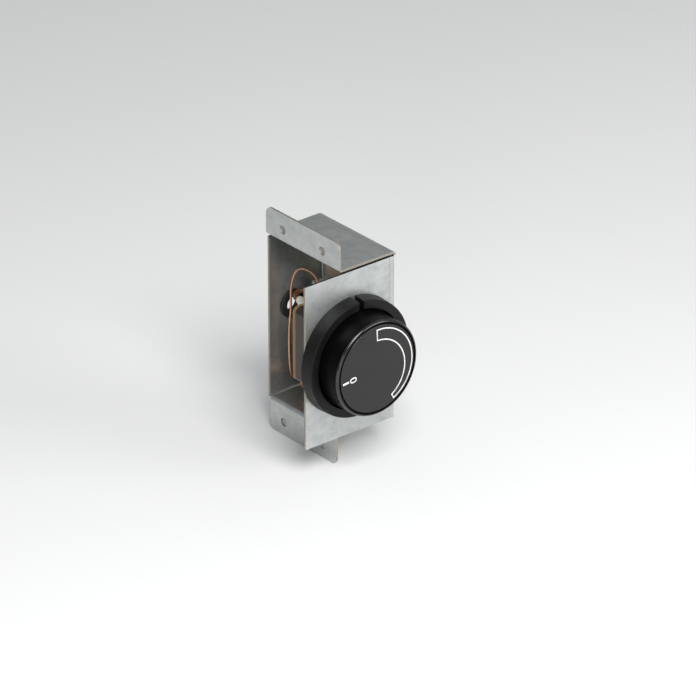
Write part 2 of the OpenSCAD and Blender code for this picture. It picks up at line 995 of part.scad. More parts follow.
// Two screws between the poles, through the block, the liner and the wall-side sheet
module block_screws() {
    color("silver")
        for (s = [-1, 1])
            translate([block_x1 - block_base_t, block_screw_y, s * block_screw_z])
                rotate([0, -90, 0])
                    slotted_screw(block_screw_r, 2.6, 1.6, block_base_t + liner_t + sheet);
}

// Sheet of insulation between the terminal block and the housing
module insulating_liner() {
    color("lemonchiffon")
        difference() {
            translate([inner_wall_x - liner_t, block_y0 - 3, -21])
                cube([liner_t, block_size[1] + 5, 42]);
            for (s = [-1, 1])
                translate([inner_wall_x - 2, block_screw_y, s * block_screw_z])
                    rotate([0, 90, 0])
                        cylinder(r = block_screw_r, h = 4);
        }
}

// Black card folded behind the slot under the top sheet, so that nothing reaches the live parts
module slot_card() {
    card_t = 0.4;
    card_x = [3, inner_wall_x - 1.5];
    flap_depth = 30;
    flap_drop = 8;
    roof_z = box_top - sheet;
    back_of_plate = front_y + sheet;
    color([0.05, 0.05, 0.05]) {
        translate([card_x[0], back_of_plate, roof_z - card_t])
            cube([card_x[1] - card_x[0], flap_depth, card_t]);
        translate([card_x[0], back_of_plate, roof_z - flap_drop])
            cube([card_x[1] - card_x[0], card_t, flap_drop]);
    }
}

module earth_screw() {
    color("silver")
        translate([inner_wall_x - 1, earth_y, earth_z])
            rotate([0, -90, 0])
                pan_screw(earth_screw_r, 3.8, 2.4, 3.2);
}

module earth_washer() {
    color("silver")
        translate([inner_wall_x - 1, earth_y, earth_z])
            rotate([0, 90, 0])
                difference() {
                    union() {
                        cylinder(r = 4.2, h = 1);
                        for (i = [0 : 11])
                            rotate(i * 30)
                                translate([3.5, -0.5, 0])
                                    cube([1.5, 1, 1]);
                    }
                    translate([0, 0, -1])
                        cylinder(r = earth_screw_r, h = 3);
                }
}

// Rubber grommet in the rear sheet, where the supply cable enters
module cable_grommet() {
    lip_r = entry_hole_r + 2;
    lip = 1.6;
    color([0.09, 0.09, 0.09])
        translate([entry_x, rear_y + lip, entry_z])
            rotate([90, 0, 0])
                rotate_extrude()
                    difference() {
                        union() {
                            span_rect([0, 0], [entry_hole_r, 2 * lip + sheet]);
                            span_rect([0, 0], [lip_r - 0.5, lip]);
                            span_rect([0, 0.5], [lip_r, lip]);
                            span_rect([0, lip + sheet], [lip_r, 2 * lip + sheet - 0.5]);
                            span_rect([0, lip + sheet], [lip_r - 0.5, 2 * lip + sheet]);
                        }
                        span_rect([-1, -1], [entry_bore_r, 2 * lip + sheet + 1]);
                    }
}

housing();
knob_collar();
fixing_screws();
thermostat_yoke();
shaft_bush();
thermostat_base();
terminal_board();
board_rivets();
terminal_blades();
fixed_contact();
diaphragm_capsule();
capillary_tube();
sensing_bulb();
bulb_clip();
clip_rivet();
lever_pin();
lead_receptacles();
line_lead();
load_lead();
terminal_block();
terminal_tubes();
terminal_screws();
block_screws();
insulating_liner();
slot_card();
earth_screw();
earth_washer();
cable_grommet();
knob_body();
knob_face();
scale_print();
grip_spring();
control_shaft();
stop_disc();
shaft_clip();
setting_nut();
range_spring();
contact_lever();
moving_contact();
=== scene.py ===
"""Looks of the wall thermostat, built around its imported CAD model.

Lengths are metres in the part's own frame: +X from the panel towards the wall, +Z up, and
the knob faces -Y. Round pieces are turned from profiles, and folded, pressed and moulded
pieces are refined copies of their CAD solids with joined faces and rounded edges.
"""
import math

import bmesh
import bpy
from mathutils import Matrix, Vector
from mathutils.bvhtree import BVHTree

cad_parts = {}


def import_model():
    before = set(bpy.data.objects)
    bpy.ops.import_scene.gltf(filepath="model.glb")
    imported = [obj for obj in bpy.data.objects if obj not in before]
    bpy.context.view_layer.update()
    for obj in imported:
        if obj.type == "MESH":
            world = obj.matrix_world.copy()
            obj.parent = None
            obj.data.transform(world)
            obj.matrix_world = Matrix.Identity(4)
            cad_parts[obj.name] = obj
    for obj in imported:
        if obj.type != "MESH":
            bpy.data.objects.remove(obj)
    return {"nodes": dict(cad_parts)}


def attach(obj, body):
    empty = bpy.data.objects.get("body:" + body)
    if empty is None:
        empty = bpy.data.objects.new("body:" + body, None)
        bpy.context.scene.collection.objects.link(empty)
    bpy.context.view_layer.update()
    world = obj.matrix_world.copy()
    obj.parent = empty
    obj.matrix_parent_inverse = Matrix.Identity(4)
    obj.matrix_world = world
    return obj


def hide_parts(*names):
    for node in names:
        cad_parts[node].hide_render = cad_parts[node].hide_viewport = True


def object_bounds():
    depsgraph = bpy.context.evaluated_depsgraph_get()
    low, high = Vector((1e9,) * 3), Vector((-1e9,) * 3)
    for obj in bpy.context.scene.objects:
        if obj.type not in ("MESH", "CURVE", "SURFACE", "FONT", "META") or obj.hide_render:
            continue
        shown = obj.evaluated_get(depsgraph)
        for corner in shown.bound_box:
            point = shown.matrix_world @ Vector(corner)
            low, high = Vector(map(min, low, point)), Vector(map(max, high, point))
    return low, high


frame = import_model()
CAD_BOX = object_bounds()

MM = 0.001
AXIS_X = 7.2 * MM
PLATE_Y = -28 * MM
SHEET = 1.2 * MM

KNOB_R = 25 * MM
KNOB_HEIGHT = 20.2 * MM
FACE_R = 22.8 * MM
COLLAR_INNER_R = 25.9 * MM
COLLAR_OUTER_R = 30.5 * MM
COLLAR_H = 7.3 * MM
NOTCH_W = 3 * MM
NOTCH_ANGLE = math.radians(88)
PLATE_TOP = 44.3 * MM
FACE_RECESS = 1.2 * MM
COLLAR_FLOOR = 1.5 * MM
BUSH_HOLE_R = 5.6 * MM

# Middles of the sensing bulb and of the cable entry, as (x, z)
BULB_MIDDLE = (15 * MM, -36 * MM)
ENTRY_MIDDLE = (15 * MM, 4 * MM)

# Material slots of the housing's mesh, after the zinc sheet: the cut edges, then painted shade (a near-black
# finish standing in for the shadow in the slot under the top sheet)
CUT_SLOT = 1
SLOT_SHADE_INDEX = 2


# ---------------------------------------------------------------- materials


class Finish:
    """A procedural material: one Principled shader and the nodes that feed it.

    Patterns follow the piece itself, in metres, so each is given by its real size.
    """

    def __init__(self, name, metallic=0.0, roughness=0.5, specular=0.5):
        self.material = bpy.data.materials.new(name)
        self.material.use_nodes = True
        self.tree = self.material.node_tree
        self.shader = self.tree.nodes["Principled BSDF"]
        self.shader.inputs["Metallic"].default_value = metallic
        self.shader.inputs["Roughness"].default_value = roughness
        self.shader.inputs["Specular IOR Level"].default_value = specular
        self.place = self.add("TexCoord").outputs["Object"]
        self.normal = None

    def add(self, kind, values=None, **settings):
        node = self.tree.nodes.new("ShaderNode" + kind)
        for name, value in settings.items():
            setattr(node, name, value)
        for name, value in (values or {}).items():
            if isinstance(value, bpy.types.NodeSocket):
                self.tree.links.new(value, node.inputs[name])
            else:
                node.inputs[name].default_value = value
        return node

    def stretched(self, stretch):
        """The place, with patterns drawn out by these factors along X, Y and Z."""
        return self.add("Mapping", {"Vector": self.place, "Scale": [1 / s for s in stretch]}).outputs[0]

    def noise(self, size, detail=4.0, roughness=0.55, stretch=(1, 1, 1), seed=0.0):
        values = {
            "Vector": self.stretched(stretch),
            "W": seed,
            "Scale": 1 / size,
            "Detail": detail,
            "Roughness": roughness,
        }
        return self.add("TexNoise", values, noise_dimensions="4D").outputs[0]

    def cells(self, size, output="Color"):
        """Grains of about that size, as their colour or the distance from their middle."""
        values = {"Vector": self.stretched((1, 1, 1)), "Scale": 1 / size}
        return self.add("TexVoronoi", values).outputs[output]

    def grey(self, colour):
        return self.add("RGBToBW", {"Color": colour}).outputs[0]

    def span(self, value, low, high, from_low=0.3, from_high=0.7):
        """The value, moved from one range to another."""
        values = {
            "Value": value,
            "From Min": from_low,
            "From Max": from_high,
            "To Min": low,
            "To Max": high,
        }
        return self.add("MapRange", values).outputs[0]

    def blend(self, share, first, second, mode="MIX"):
        """The first colour, going to the second by the share."""
        node = self.add("Mix", data_type="RGBA", blend_type=mode)
        for socket, value in ((node.inputs[0], share), (node.inputs[6], first), (node.inputs[7], second)):
            if isinstance(value, bpy.types.NodeSocket):
                self.tree.links.new(value, socket)
            elif isinstance(value, (int, float)):
                socket.default_value = value
            else:
                socket.default_value = (*value, 1)
        return node.outputs[2]

    def feed(self, socket, value):
        self.tree.links.new(value, self.shader.inputs[socket])

    def relief(self, height, depth):
        """Raises the surface by the height pattern, depth metres from 0 to 1."""
        values = {"Height": height, "Distance": depth, "Strength": 1.0}
        if self.normal:
            values["Normal"] = self.normal
        self.normal = self.add("Bump", values).outputs[0]
        self.feed("Normal", self.normal)


def zinc_sheet():
    """Galvanised sheet: faint spangle and mottling, rolling streaks, specks and dents."""
    f = Finish("galvanised_steel", metallic=0.82, roughness=0.4)
    mottle = f.noise(11 * MM, detail=5, roughness=0.62)
    blotch = f.noise(4.2 * MM, detail=4, roughness=0.7, seed=3)
    spangle = f.grey(f.cells(3.4 * MM))
    streak = f.noise(1.1 * MM, detail=3, stretch=(9, 9, 1), seed=7)
    colour = f.blend(f.span(mottle, 0, 1), (0.44, 0.465, 0.46), (0.575, 0.59, 0.575))
    colour = f.blend(f.span(blotch, 0, 0.5, 0.42, 0.66), colour, (0.36, 0.39, 0.375))
    colour = f.blend(f.span(f.noise(7 * MM, seed=12), 0, 0.16, 0.5, 0.72), colour, (0.53, 0.48, 0.465))
    colour = f.blend(f.span(spangle, 0, 0.16), colour, (0.70, 0.72, 0.72))
    colour = f.blend(f.span(streak, 0, 0.2), colour, (0.36, 0.385, 0.385))
    specks = f.noise(0.7 * MM, detail=2, seed=19)
    colour = f.blend(f.span(specks, 0, 0.55, 0.70, 0.80), colour, (0.24, 0.25, 0.24))
    f.feed("Base Color", colour)
    f.feed("Roughness", f.span(blotch, 0.26, 0.42))
    f.relief(f.noise(16 * MM, detail=2, seed=4), 0.10 * MM)
    f.relief(f.cells(3.4 * MM, output="Distance"), 0.006 * MM)
    f.relief(streak, 0.004 * MM)
    f.relief(f.span(specks, 0, 1, 0.68, 0.80), 0.02 * MM)
    return f.material


def cut_steel():
    """Sheared edge of the sheet: bare, warmer, with fine lines across its thickness."""
    f = Finish("cut_edge", metallic=0.6, roughness=0.5)
    lines = f.noise(0.25 * MM, detail=3, seed=2)
    colour = f.blend(f.span(lines, 0, 1), (0.23, 0.203, 0.166), (0.37, 0.335, 0.285))
    colour = f.blend(f.span(f.noise(5 * MM, seed=8), 0, 0.4), colour, (0.41, 0.40, 0.375))
    f.feed("Base Color", colour)
    f.feed("Roughness", f.span(lines, 0.42, 0.6))
    f.relief(lines, 0.02 * MM)
    return f.material


def moulded(name, dark, light, roughness, grain=0.35 * MM, depth=0.006 * MM, specular=0.4, scuffs=0.25):
    """Moulded plastic: fine spark-eroded grain, cloudy sheen and a few light scuffs."""
    f = Finish(name, roughness=roughness, specular=specular)
    cloud = f.noise(9 * MM, detail=4, seed=1)
    fine = f.noise(grain, detail=2, seed=5)
    scuff = f.noise(1.3 * MM, detail=5, roughness=0.7, stretch=(1, 5, 3), seed=9)
    colour = f.blend(f.span(cloud, 0, 1), dark, light)
    colour = f.blend(f.span(scuff, 0, scuffs, 0.60, 0.80), colour, [min(1, 2.2 * c + 0.02) for c in light])
    f.feed("Base Color", colour)
    f.feed("Roughness", f.span(cloud, roughness - 0.05, roughness + 0.07))
    f.relief(fine, depth)
    f.relief(f.noise(12 * MM, detail=1, seed=6), 0.02 * MM)
    return f.material


def plated(name, dark, light, roughness=0.3, metallic=1.0, tarnish=(0.3, 0.28, 0.24), amount=0.3):
    """Plated or drawn metal: cloudy tone, fine tool lines and a little tarnish."""
    f = Finish(name, metallic=metallic, roughness=roughness)
    cloud = f.noise(3 * MM, detail=5, roughness=0.6, seed=1)
    lines = f.noise(0.22 * MM, detail=3, stretch=(1, 14, 1), seed=3)
    spots = f.noise(1.6 * MM, detail=4, roughness=0.7, seed=6)
    colour = f.blend(f.span(cloud, 0, 1), dark, light)
    colour = f.blend(f.span(spots, 0, amount, 0.55, 0.75), colour, tarnish)
    f.feed("Base Color", colour)
    f.feed("Roughness", f.span(cloud, roughness - 0.07, roughness + 0.12))
    f.relief(lines, 0.004 * MM)
    return f.material


def printed_ink():
    """Screen-printed white ink, slightly uneven where it covers the plastic's grain."""
    f = Finish("white_print", roughness=0.45)
    cover = f.noise(0.3 * MM, detail=3)
    f.feed("Base Color", f.blend(f.span(cover, 0, 1), (0.74, 0.745, 0.73), (0.90, 0.90, 0.885)))
    f.feed("Roughness", f.span(cover, 0.38, 0.55))
    f.relief(cover, 0.006 * MM)
    return f.material


def pressed_board(name, dark, light, sheen=0.5):
    """Laminate or fibre board: crossed threads under a flat resin surface."""
    f = Finish(name, roughness=sheen)
    warp = f.noise(0.5 * MM, detail=2, stretch=(1, 1, 16), seed=1)
    weft = f.noise(0.5 * MM, detail=2, stretch=(16, 16, 1), seed=2)
    cloud = f.noise(6 * MM, detail=4, seed=3)
    colour = f.blend(f.span(warp, 0, 1), dark, light)
    colour = f.blend(f.span(weft, 0, 0.5), colour, dark)
    colour = f.blend(f.span(cloud, 0, 0.3), colour, light)
    f.feed("Base Color", colour)
    f.feed("Roughness", f.span(cloud, sheen - 0.08, sheen + 0.1))
    f.relief(warp, 0.01 * MM)
    f.relief(weft, 0.01 * MM)
    return f.material


def floor_paint():
    f = Finish("floor_paint", roughness=0.7, specular=0.2)
    cloud = f.noise(0.2, detail=3)
    f.feed("Base Color", f.blend(f.span(cloud, 0, 1), (0.88, 0.88, 0.88), (0.895, 0.895, 0.895)))
    return f.material


FINISHES = {
    "galvanised_steel": zinc_sheet(),
    "black_plastic": moulded(
        "black_plastic", (0.0015, 0.0015, 0.0014), (0.003, 0.003, 0.0028), 0.34, specular=0.05,
    ),
    "knob_rim": moulded("knob_rim", (0.005, 0.005, 0.0045), (0.008, 0.008, 0.0075), 0.14, specular=0.75),
    "collar_plastic": moulded(
        "collar_plastic", (0.004, 0.004, 0.0037), (0.007, 0.007, 0.0065), 0.42, specular=0.2,
    ),
    "dark_face": moulded(
        "dark_face", (0.0155, 0.0147, 0.0142), (0.0205, 0.0193, 0.0187), 0.48, grain=0.22 * MM,
        depth=0.004 * MM, specular=0.32, scuffs=0.12,
    ),
    "white_print": printed_ink(),
    "zinc_steel": plated("zinc_steel", (0.56, 0.57, 0.58), (0.74, 0.75, 0.76)),
    # Painted shade: near-black finish for the plate's top edge under the top sheet, standing in for the
    # shadow in the slot; its tarnish spots are part of the same painted shade
    "painted_slot_shade": plated(
        "painted_slot_shade", (0.010, 0.010, 0.009), (0.026, 0.025, 0.023), roughness=0.62, metallic=0.2,
        tarnish=(0.04, 0.032, 0.025),
    ),
    "spring_steel": plated("spring_steel", (0.26, 0.26, 0.27), (0.40, 0.40, 0.41), amount=0.45),
    "brass": plated("brass", (0.66, 0.46, 0.20), (0.82, 0.62, 0.32), tarnish=(0.30, 0.20, 0.09)),
    "contact_silver": plated("contact_silver", (0.78, 0.78, 0.75), (0.90, 0.90, 0.88), roughness=0.25),
    "phenolic": moulded("phenolic", (0.020, 0.013, 0.010), (0.045, 0.028, 0.020), 0.3, specular=0.5),
    "laminate_board": pressed_board("laminate_board", (0.20, 0.115, 0.048), (0.31, 0.19, 0.085)),
    "copper": plated(
        "copper", (0.58, 0.30, 0.18), (0.76, 0.44, 0.29), roughness=0.32,
        tarnish=(0.24, 0.12, 0.07), amount=0.5,
    ),
    "clear_sleeve": moulded("clear_sleeve", (0.55, 0.53, 0.44), (0.68, 0.66, 0.57), 0.28, specular=0.5),
    "brown_insulation": moulded("brown_insulation", (0.10, 0.040, 0.018), (0.15, 0.062, 0.030), 0.38),
    "black_insulation": moulded("black_insulation", (0.010, 0.010, 0.010), (0.018, 0.018, 0.018), 0.38),
    "white_plastic": moulded("white_plastic", (0.66, 0.66, 0.62), (0.78, 0.78, 0.74), 0.33, specular=0.5),
    "liner_sheet": pressed_board("liner_sheet", (0.50, 0.43, 0.29), (0.66, 0.59, 0.43), sheen=0.65),
    # Painted shade: a near-black card set behind the slot under the top sheet, so that the slot reads as
    # deep shadow
    "black_card": pressed_board("black_card", (0.006, 0.006, 0.006), (0.012, 0.012, 0.012), sheen=0.7),
    "rubber": moulded("rubber", (0.012, 0.012, 0.012), (0.022, 0.022, 0.021), 0.62, specular=0.3),
}
CUT_EDGE = cut_steel()


# ---------------------------------------------------------------- pieces


def add_piece(name, data, body, slot, *nodes, finish=None):
    """Puts finished data in the scene as a piece that rides on a body and stands for CAD nodes."""
    piece = bpy.data.objects.new(name, data)
    bpy.context.scene.collection.objects.link(piece)
    data.materials.clear()
    data.materials.append(FINISHES[finish or slot])
    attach(piece, body)
    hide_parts(*nodes)
    return piece


def mesh_from(bm, name, smooth_angle=32):
    bmesh.ops.recalc_face_normals(bm, faces=bm.faces)
    mesh = bpy.data.meshes.new(name)
    bm.to_mesh(mesh)
    bm.free()
    mesh.shade_smooth()
    mesh.set_sharp_from_angle(angle=math.radians(smooth_angle))
    return mesh


def rounded(corners, steps=5):
    """A closed profile from corners given as (r, y, radius), each corner rounded by its radius."""
    points = []
    for i, (r, y, radius) in enumerate(corners):
        here = Vector((r, y))
        before = Vector(corners[i - 1][:2]) - here
        after = Vector(corners[(i + 1) % len(corners)][:2]) - here
        if radius <= 0:
            points.append(here)
            continue
        half = before.angle(after) / 2
        reach = radius / math.tan(half)
        centre = here + (before.normalized() + after.normalized()).normalized() * radius / math.sin(half)
        first = here + before.normalized() * reach - centre
        last = here + after.normalized() * reach - centre
        turn = first.angle_signed(last)
        for k in range(steps + 1):
            a = -turn * k / steps
            points.append(centre + Vector((
                first.x * math.cos(a) - first.y * math.sin(a),
                first.x * math.sin(a) + first.y * math.cos(a),
            )))
    return points


def turned(bm, profile, centre, segments=192, gap=0.0, gap_angle=0.0):
    """Revolves a closed profile of (radius, y) points about the line along Y through centre.

    A gap leaves a slot of that width, with parallel sides, at gap_angle from +X.
    """
    rings = []
    count = segments + 1 if gap else segments
    for k in range(count):
        ring = []
        for r, y in profile:
            half = math.asin(min(gap / 2 / r, 1)) if gap else 0
            a = gap_angle + half + (2 * math.pi - 2 * half) * k / segments
            ring.append(bm.verts.new((centre[0] + r * math.cos(a), y, centre[1] + r * math.sin(a))))
        rings.append(ring)
    size = len(profile)
    for k in range(segments):
        here, there = rings[k], rings[(k + 1) % count]
        for i in range(size):
            j = (i + 1) % size
            bm.faces.new((here[i], here[j], there[j], there[i]))
    if gap:
        bm.faces.new(rings[0])
        bm.faces.new(rings[-1])
    bmesh.ops.remove_doubles(bm, verts=bm.verts, dist=1e-7)


def out(z):
    """World Y of a height above the plate."""
    return PLATE_Y - z


def ring_finish(piece, finish, inner_r):
    """Gives the front ring of a knob piece, outside inner_r, a second finish."""
    rim_depth = 1.1 * MM
    piece.data.materials.append(FINISHES[finish])
    for face in piece.data.polygons:
        r = math.hypot(face.center.x - AXIS_X, face.center.z)
        if r > inner_r and face.center.y < out(KNOB_HEIGHT - rim_depth):
            face.material_index = 1


def bevelled(piece, width, angle=40):
    """Rounds a piece's sharp edges and keeps its flat faces flat."""
    bevel = piece.modifiers.new("rounded_edges", "BEVEL")
    bevel.width = width
    bevel.segments = 3
    bevel.limit_method = "ANGLE"
    bevel.angle_limit = math.radians(angle)
    flat = piece.modifiers.new("flat_faces", "WEIGHTED_NORMAL")
    flat.weight = 100
    flat.keep_sharp = True


def refined(node, body, slot, width=0.12 * MM, finish=None, cut_edges=False):
    """A copy of a CAD node with its flat faces joined and its sharp edges rounded."""
    source = frame["nodes"][node]
    bm = bmesh.new()
    bm.from_mesh(source.data)
    bm.transform(source.matrix_world)
    bmesh.ops.remove_doubles(bm, verts=bm.verts, dist=2e-6)
    if cut_edges:
        tree = BVHTree.FromBMesh(bm)
        for face in bm.faces:
            inward = -face.normal
            hit = tree.ray_cast(face.calc_center_median() + inward * 1e-5, inward)
            face.material_index = CUT_SLOT if hit[3] is None or hit[3] > 1.1 * SHEET else 0
    bmesh.ops.dissolve_limit(
        bm, angle_limit=math.radians(0.6), verts=bm.verts, edges=bm.edges, delimit={"MATERIAL"}
    )
    mesh = bpy.data.meshes.new(node + "_look")
    bm.to_mesh(mesh)
    bm.free()
    mesh.shade_smooth()
    indices = [p.material_index for p in mesh.polygons]
    piece = add_piece(node + "_look", mesh, body, slot, node, finish=finish)
    if cut_edges:
        mesh.materials.append(CUT_EDGE)
        mesh.polygons.foreach_set("material_index", indices)
    if width:
        bevelled(piece, width)
    return piece


def between(p0, p1, p2, p3, t):
    """Catmull-Rom point between p1 and p2."""
    return 0.5 * (
        2 * p1
        + (p2 - p0) * t
        + (2 * p0 - 5 * p1 + 4 * p2 - p3) * t * t
        + (3 * p1 - p0 - 3 * p2 + p3) * t * t * t
    )


def smooth_route(route, steps=10):
    points = [Vector(p) * MM for p in route]
    last = len(points) - 1
    path = []
    for i in range(last):
        around = points[max(i - 1, 0)], points[i], points[i + 1], points[min(i + 2, last)]
        path += [between(*around, k / steps) for k in range(steps)]
    return path + [points[last]]


def tube(name, path, radius, body, slot, node):
    """A round wire or tube along a path."""
    curve = bpy.data.curves.new(name, "CURVE")
    curve.dimensions = "3D"
    curve.bevel_depth = radius
    curve.bevel_resolution = 5
    curve.use_fill_caps = True
    spline = curve.splines.new("POLY")
    spline.points.add(len(path) - 1)
    for point, place in zip(spline.points, path):
        point.co = (*place, 1)
    spline.use_smooth = True
    return add_piece(name, curve, body, slot, node)


# ---------------------------------------------------------------- knob and collar


def knob_body():
    """Hollow turned knob with a hub for the shaft and six ribs."""
    skin = 1.8 * MM
    rear = 2.3 * MM
    roof = KNOB_HEIGHT - 4.0 * MM
    recess_r = FACE_R + 0.6 * MM
    recess_floor = KNOB_HEIGHT - FACE_RECESS
    hub_r = 6 * MM
    hub_rear = 5 * MM
    bore_r = 3.05 * MM
    centre = (AXIS_X, 0)
    shell = [
        (KNOB_R, out(rear), 0.2 * MM),
        (KNOB_R, out(KNOB_HEIGHT), 1.2 * MM),
        (recess_r, out(KNOB_HEIGHT), 0.12 * MM),
        (recess_r, out(recess_floor), 0.05 * MM),
        (0.02 * MM, out(recess_floor), 0),
        (0.02 * MM, out(roof), 0),
        (KNOB_R - skin, out(roof), 0.6 * MM),
        (KNOB_R - skin, out(rear), 0.2 * MM),
    ]
    hub = [
        (hub_r, out(roof), 0),
        (hub_r, out(hub_rear), 0.3 * MM),
        (bore_r, out(hub_rear), 0.2 * MM),
        (bore_r, out(roof), 0),
    ]
    bm = bmesh.new()
    turned(bm, rounded(shell, steps=8), centre, segments=256)
    turned(bm, rounded(hub), centre, segments=96)
    mesh = mesh_from(bm, "knob_body_look")
    shell_piece = add_piece("knob_body_look", mesh, "knob", "black_plastic", "knob_body")
    ring_finish(shell_piece, "knob_rim", KNOB_R - 0.9 * MM)

    bm = bmesh.new()
    for i in range(6):
        a = math.radians(60 * i + 30)
        along, across = Vector((math.cos(a), 0, math.sin(a))), Vector((-math.sin(a), 0, math.cos(a)))
        ends = []
        for r in (hub_r - 0.3 * MM, KNOB_R - skin + 0.3 * MM):
            for side in (-0.7 * MM, 0.7 * MM):
                for z in (hub_rear + 3 * MM, roof + 0.1 * MM):
                    spot = Vector((AXIS_X, out(z), 0)) + along * r + across * side
                    ends.append(bm.verts.new(spot))
        a0, a1, b0, b1, c0, c1, d0, d1 = ends
        faces = (
            (a0, a1, b1, b0), (c0, c1, d1, d0), (a0, a1, c1, c0),
            (b0, b1, d1, d0), (a0, b0, d0, c0), (a1, b1, d1, c1),
        )
        for loop in faces:
            bm.faces.new(loop)
    ribs = add_piece("knob_ribs_look", mesh_from(bm, "knob_ribs_look"), "knob", "black_plastic", "knob_body")
    bevelled(ribs, 0.2 * MM)


def knob_face():
    disc = [
        (FACE_R, out(KNOB_HEIGHT - FACE_RECESS), 0),
        (FACE_R, out(KNOB_HEIGHT), 0.15 * MM),
        (0.02 * MM, out(KNOB_HEIGHT), 0),
        (0.02 * MM, out(KNOB_HEIGHT - FACE_RECESS), 0),
    ]
    bm = bmesh.new()
    turned(bm, rounded(disc), (AXIS_X, 0), segments=256)
    mesh = mesh_from(bm, "knob_face_look")
    disc_piece = add_piece("knob_face_look", mesh, "knob", "dark_face", "knob_face")
    ring_finish(disc_piece, "knob_rim", FACE_R - 0.18 * MM)


def knob_collar():
    """Fixed ring with its index notch, on a floor that the fixing screws hold."""
    flare = 0.5 * MM
    wall = [
        (COLLAR_OUTER_R + flare, out(0), 0),
        (COLLAR_OUTER_R, out(COLLAR_H), 0.55 * MM),
        (COLLAR_INNER_R, out(COLLAR_H), 0.55 * MM),
        (COLLAR_INNER_R, out(0), 0),
    ]
    bm = bmesh.new()
    turned(bm, rounded(wall), (AXIS_X, 0), segments=256, gap=NOTCH_W, gap_angle=NOTCH_ANGLE)
    ring = add_piece(
        "knob_collar_look", mesh_from(bm, "knob_collar_look"), "housing", "black_plastic", "knob_collar",
        finish="collar_plastic",
    )
    bevelled(ring, 0.25 * MM, angle=60)

    floor = [
        (COLLAR_INNER_R + 0.2 * MM, out(0), 0),
        (COLLAR_INNER_R + 0.2 * MM, out(COLLAR_FLOOR), 0),
        (BUSH_HOLE_R, out(COLLAR_FLOOR), 0.3 * MM),
        (BUSH_HOLE_R, out(0), 0),
    ]
    bm = bmesh.new()
    turned(bm, rounded(floor), (AXIS_X, 0), segments=192)
    add_piece(
        "knob_collar_floor_look", mesh_from(bm, "knob_collar_floor_look"), "housing", "black_plastic",
        "knob_collar", finish="collar_plastic",
    )


# ---------------------------------------------------------------- round pieces in the box


def sensing_bulb():
    """Closed copper bulb, spun down at both ends."""
    r, first, last = 3 * MM, -18 * MM, 19 * MM
    profile = [
        (0.02 * MM, first, 0),
        (1.2 * MM, first, 0.3 * MM),
        (r, first + 2 * MM, 1.2 * MM),
        (r, last - 2 * MM, 1.2 * MM),
        (1.2 * MM, last, 0.3 * MM),
        (0.02 * MM, last, 0),
    ]
    bm = bmesh.new()
    turned(bm, rounded(profile), BULB_MIDDLE, segments=96)
    add_piece("sensing_bulb_look", mesh_from(bm, "sensing_bulb_look"), "housing", "copper", "sensing_bulb")


def cable_grommet():
    rear_y = 28 * MM
    bore, neck, lip_r, lip = 4 * MM, 5.5 * MM, 7.5 * MM, 1.6 * MM
    inner, outer = rear_y - SHEET - lip, rear_y + lip
    profile = [
        (bore, inner, 0.3 * MM),
        (lip_r, inner, 0.6 * MM),
        (lip_r, inner + lip, 0.15 * MM),
        (neck, inner + lip, 0),
        (neck, rear_y, 0),
        (lip_r, rear_y, 0.15 * MM),
        (lip_r, outer, 0.6 * MM),
        (bore, outer, 0.5 * MM),
    ]
    bm = bmesh.new()
    turned(bm, rounded(profile), ENTRY_MIDDLE, segments=128)
    mesh = mesh_from(bm, "cable_grommet_look")
    add_piece("cable_grommet_look", mesh, "housing", "rubber", "cable_grommet")


def range_spring():
    turns, steps, mean_r, wire_r, length = 4, 48, 3.9 * MM, 0.4 * MM, 5 * MM
    start = -14.35 * MM
    path = []
    for i in range(turns * steps + 1):
        a = 2 * math.pi * i / steps
        z = start - (length - 2 * wire_r) * i / (turns * steps)
        path.append(Vector((AXIS_X + mean_r * math.cos(a), out(z), mean_r * math.sin(a))))
    tube("range_spring_look", path, 0.98 * wire_r, "nut", "spring_steel", "range_spring")


CAPILLARY_ROUTE = [
    (7.2, -5.3, 9), (7.2, -5.3, 14), (7.2, -5.3, 19), (7.2, -5.2, 24), (8, -2, 29), (9, 4, 31),
    (9.5, 12, 30), (10, 18, 25), (10, 21, 16), (10, 21.5, 4), (9, 21.5, -8), (9, 21.5, -20),
    (10.5, 22.5, -30), (13, 23.3, -35), (15, 22.4, -36), (15, 20.6, -36), (15, 19, -36),
]
LINE_ROUTE = [
    (7.2, 11.4, 14), (7.2, 13.5, 14), (8.5, 16, 14.5), (12, 16.5, 15.5), (16, 12, 15.5),
    (18.5, 5, 14), (21.5, 0.5, 12), (25, -0.8, 10.4), (27.2, 1, 10), (27.2, 4.2, 10),
]
LOAD_ROUTE = [
    (7.2, 11.4, -13.5), (7.2, 13.5, -13.5), (8.5, 16, -14), (12, 16.5, -15), (16, 12, -15),
    (18.5, 5, -14), (21.5, 0.5, -12), (25, -0.8, -10.4), (27.2, 1, -10), (27.2, 4.2, -10),
]

def housing():
    """Folded box; the edges that face the slot under the top sheet get painted shade, a near-black finish in
    place of the shadow in the slot.
    """
    box = refined("housing", "housing", "galvanised_steel", width=0.16 * MM, cut_edges=True)
    box.data.materials.append(FINISHES["painted_slot_shade"])
    for face in box.data.polygons:
        # painted shade: the upward faces of the plate's top edge, under the slot, take the near-black finish
        if face.normal.z > 0.9 and abs(face.center.z - PLATE_TOP) < 0.1 * MM:
            face.material_index = SLOT_SHADE_INDEX


housing()
knob_body()
knob_face()
refined("scale_print", "knob", "white_print", width=0)
knob_collar()
sensing_bulb()
cable_grommet()
range_spring()
tube("capillary_tube_look", smooth_route(CAPILLARY_ROUTE), 0.6 * MM, "housing", "copper", "capillary_tube")
tube("line_lead_look", smooth_route(LINE_ROUTE), 1.3 * MM, "housing", "brown_insulation", "line_lead")
tube("load_lead_look", smooth_route(LOAD_ROUTE), 1.3 * MM, "housing", "black_insulation", "load_lead")

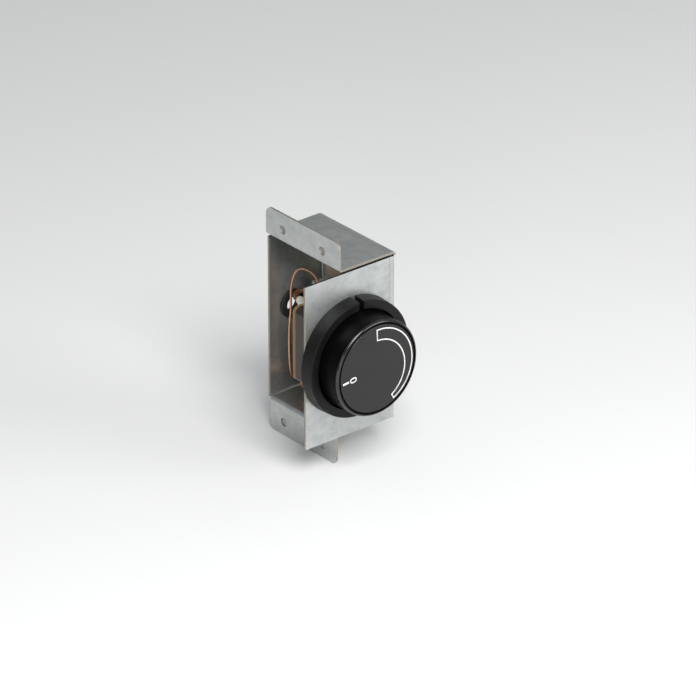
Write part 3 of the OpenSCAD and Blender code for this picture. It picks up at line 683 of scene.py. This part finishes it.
REFINED = {
    "housing": {
        "zinc_steel": (
            "fixing_screws", "thermostat_yoke", "diaphragm_capsule", "bulb_clip", "clip_rivet", "lever_pin",
            "terminal_screws", "block_screws", "earth_screw", "earth_washer",
        ),
        "brass": ("shaft_bush", "board_rivets", "terminal_blades", "terminal_tubes"),
        "contact_silver": ("fixed_contact",),
        "phenolic": ("thermostat_base",),
        "laminate_board": ("terminal_board",),
        "clear_sleeve": ("lead_receptacles",),
        "white_plastic": ("terminal_block",),
        "liner_sheet": ("insulating_liner",),
        # painted shade: the card behind the slot is near-black, in place of the shadow inside the box
        "black_card": ("slot_card",),
    },
    "knob": {
        "zinc_steel": ("control_shaft",),
        "spring_steel": ("grip_spring", "stop_disc", "shaft_clip"),
    },
    "nut": {"brass": ("setting_nut",)},
    "lever": {"brass": ("contact_lever",), "contact_silver": ("moving_contact",)},
}
for body, slots in REFINED.items():
    for slot, names in slots.items():
        for name in names:
            refined(name, body, slot, width=0.08 * MM)


# ---------------------------------------------------------------- stage, camera and light


def floor():
    half = 4
    level = CAD_BOX[0].z
    bm = bmesh.new()
    corners = ((-half, -half), (half, -half), (half, half), (-half, half))
    bm.faces.new([bm.verts.new((x, y, level)) for x, y in corners])
    mesh = bpy.data.meshes.new("floor")
    bm.to_mesh(mesh)
    bm.free()
    mesh.materials.append(floor_paint())
    plane = bpy.data.objects.new("floor", mesh)
    bpy.context.scene.collection.objects.link(plane)


def camera():
    """A distant camera with a long lens, up and to the left of the knob."""
    shift_left, shift_up = 14.18 * MM, 9.87 * MM
    azimuth, elevation, distance = math.radians(-39.5), math.radians(27), 2.75
    back = Vector((
        math.sin(azimuth) * math.cos(elevation),
        -math.cos(azimuth) * math.cos(elevation),
        math.sin(elevation),
    ))
    right = Vector((math.cos(azimuth), math.sin(azimuth), 0))
    up = back.cross(right)
    face = Vector((AXIS_X, out(KNOB_HEIGHT), 0))
    data = bpy.data.cameras.new("camera")
    data.lens = 0.10759 * distance / MM
    data.clip_end = 20
    view = bpy.data.objects.new("camera", data)
    view.location = face - right * shift_left + up * shift_up + back * distance
    view.rotation_mode = "QUATERNION"
    view.rotation_quaternion = (-back).to_track_quat("-Z", "Y")
    bpy.context.scene.collection.objects.link(view)
    bpy.context.scene.camera = view


def softbox(name, place, size, power, tint=(1, 1, 1)):
    data = bpy.data.lights.new(name, "AREA")
    data.shape = "RECTANGLE"
    data.size, data.size_y = size
    data.energy = power
    data.color = tint
    light = bpy.data.objects.new(name, data)
    light.location = place
    light.rotation_mode = "QUATERNION"
    light.rotation_quaternion = (-Vector(place)).to_track_quat("-Z", "Y")
    bpy.context.scene.collection.objects.link(light)


def world(strength, tint):
    sky = bpy.data.worlds.new("studio")
    sky.use_nodes = True
    background = sky.node_tree.nodes["Background"]
    background.inputs["Color"].default_value = (*tint, 1)
    background.inputs["Strength"].default_value = strength
    bpy.context.scene.world = sky


bpy.context.scene.view_settings.view_transform = "Standard"
floor()
camera()
world(0.32, (0.97, 0.985, 1.0))
softbox("key", (-0.3, -0.85, 1.0), (0.7, 0.7), 17)
softbox("front_fill", (0.75, -1.1, 0.5), (0.7, 0.7), 6)
softbox("rim_light", (-1.1, -1.0, 0.3), (0.3, 0.5), 2.5)
